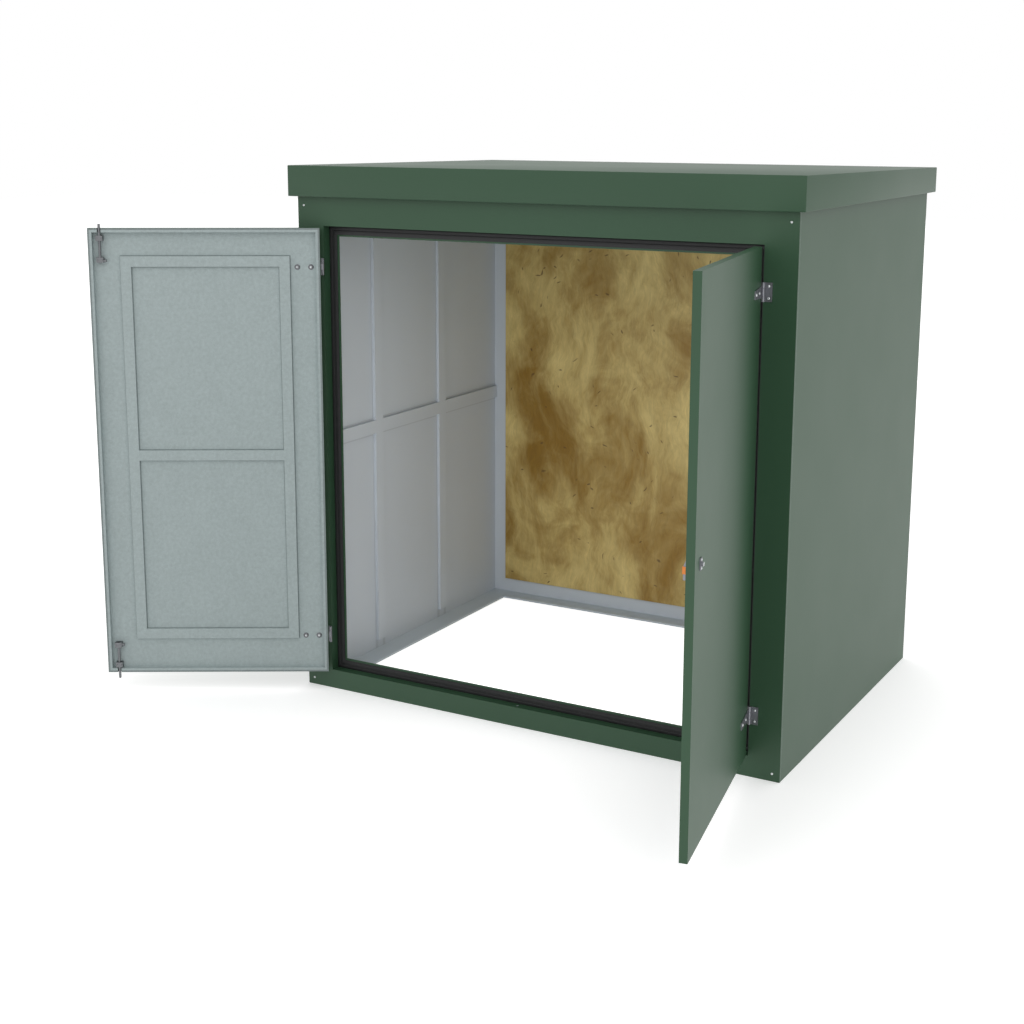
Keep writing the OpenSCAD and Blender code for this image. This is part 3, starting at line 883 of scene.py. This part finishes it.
world = bpy.data.worlds.new("studio")
bpy.context.scene.world = world
world.use_nodes = True
tree = world.node_tree
path = tree.nodes.new("ShaderNodeLightPath")
seen = path.outputs["Is Camera Ray"]
for output in ("Is Glossy Ray", "Is Transmission Ray"):
    most = tree.nodes.new("ShaderNodeMath")
    most.operation = "MAXIMUM"
    tree.links.new(seen, most.inputs[0])
    tree.links.new(path.outputs[output], most.inputs[1])
    seen = most.outputs[0]
level = tree.nodes.new("ShaderNodeMapRange")
level.inputs["To Min"].default_value = WORLD_LIGHT
level.inputs["To Max"].default_value = 1.0
tree.links.new(seen, level.inputs["Value"])
tree.links.new(level.outputs[0], tree.nodes["Background"].inputs["Strength"])
tree.nodes["Background"].inputs["Color"].default_value = (1, 1, 1, 1)
print("the world lights at", WORLD_LIGHT, "and shows at 1.0")

# %% [markdown]
# ## Lamps
# One big soft lamp from the upper front gives the faces their shape. A weak one, low on the right, lifts
# the jamb and the foot of the door. A third lies in the doorway and lights the room as the open front
# would. The two weak ones are hidden from the camera and from mirrors, so no bright square shows.

# %% Hang the lamps
def soft_lamp(name, place, aim, size, power, hidden=True):
    """A square area lamp that points at a place."""
    data = bpy.data.lights.new(name, "AREA")
    data.shape, data.size, data.energy = "SQUARE", size, power
    lamp = bpy.data.objects.new(name, data)
    lamp.location = place
    lamp.rotation_euler = (Vector(aim) - Vector(place)).to_track_quat("-Z", "Y").to_euler()
    bpy.context.scene.collection.objects.link(lamp)
    if hidden:
        lamp.visible_camera = lamp.visible_glossy = False
    print(name, power, "W")

soft_lamp("key", (1.2, -5.5, 6.0), (0, 0.4, 0.9), 5.0, 46, hidden=False)
soft_lamp("low_fill", (3.0, -2.6, 0.35), (0.9, 0.2, 0.6), 1.8, 12.0)
soft_lamp("doorway_fill", (0, reveal_y + 0.02, 0.96), (0, 1.4, 0.96), 1.7, 6.6)

# %% [markdown]
# ## White ground
# The ground has to keep the soft shadow under the object and still end in pure white. So it is a pale
# surface that also glows a little for the camera: most where it is open, which an Ambient Occlusion node
# measures, less close to the object, and strongest inside the enclosure, where little light comes in.

# %% Lay the ground
bpy.ops.object.select_all(action="DESELECT")
bpy.ops.mesh.primitive_plane_add(size=60, location=(0, 0, -0.0005))
floor = bpy.context.object
floor.name = "ground"
ground = Finish("white_ground")
rays = ground.node("ShaderNodeLightPath", {}, {})
outs = {o.name: Val(ground, o) for o in rays.socket.node.outputs}
open_ground = ground.node("ShaderNodeAmbientOcclusion", {"samples": 12}, {"Distance": 0.9}, "AO")
mirrored = outs["Is Glossy Ray"].biggest(outs["Is Transmission Ray"])
x, y, z = ground.axes()
inset = 0.02            # the glow inside starts this far within the walls
indoors = (abs(x) < half_w - inset) * (y > inset) * (y < back_y - inset)
shown = 0.34 + 0.30 * open_ground * open_ground + 0.42 * indoors
glow = outs["Is Camera Ray"] * shown + 0.60 * mirrored
ground.put(Base_Color=(0.80, 0.80, 0.80), Roughness=0.9, Specular_IOR_Level=0.0,
           Emission_Color=ground.tint((1, 1, 1), glow), Emission_Strength=1.0)
floor.data.materials.append(ground.material)
print("the ground has", len(ground.tree.nodes), "nodes")
